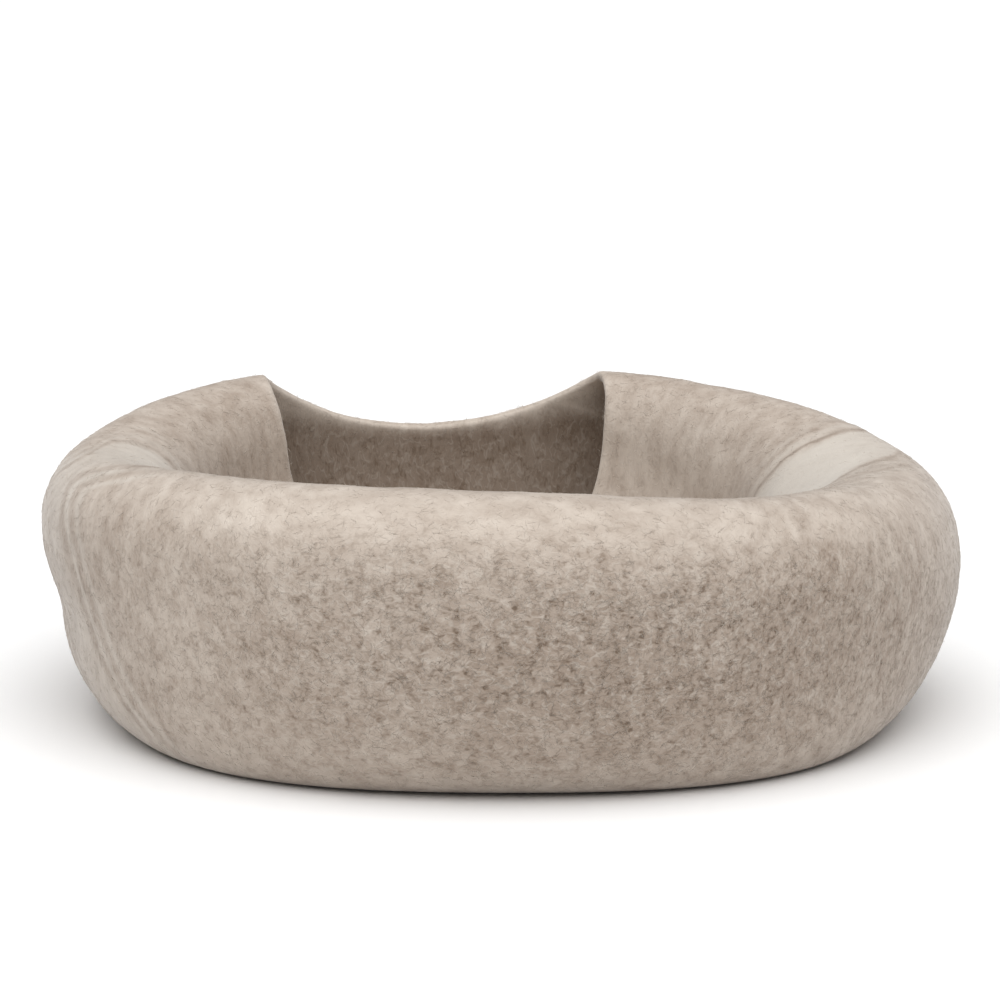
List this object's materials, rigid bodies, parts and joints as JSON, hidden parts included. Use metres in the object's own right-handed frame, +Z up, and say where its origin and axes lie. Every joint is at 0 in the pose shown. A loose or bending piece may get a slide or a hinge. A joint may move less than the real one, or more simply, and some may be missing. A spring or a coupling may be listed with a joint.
{
  "type": "felt cat cave pushed in as a round pet bed",
  "caption": "Seamless wool felt cat cave with its top pushed in to make a round bed: bulging wall, rolled rim, deep bowl, and the cave's mouth as a notch at the back.",
  "frame": {"origin": "on the floor, under the middle of the flat base", "axes": "+Z up; -Y towards the front, which is the side away from the mouth; +X to the right"},
  "size_m": [0.4553, 0.4494, 0.1431],
  "materials": {
    "wool_felt": "thick matt hand-felted wool, undyed grey-beige marled with brown, a marbled off-white belt, short loose fibres on the face"
  },
  "bodies": {
    "root": {"felt_shell": "wool_felt"}
  },
  "joints": []
}
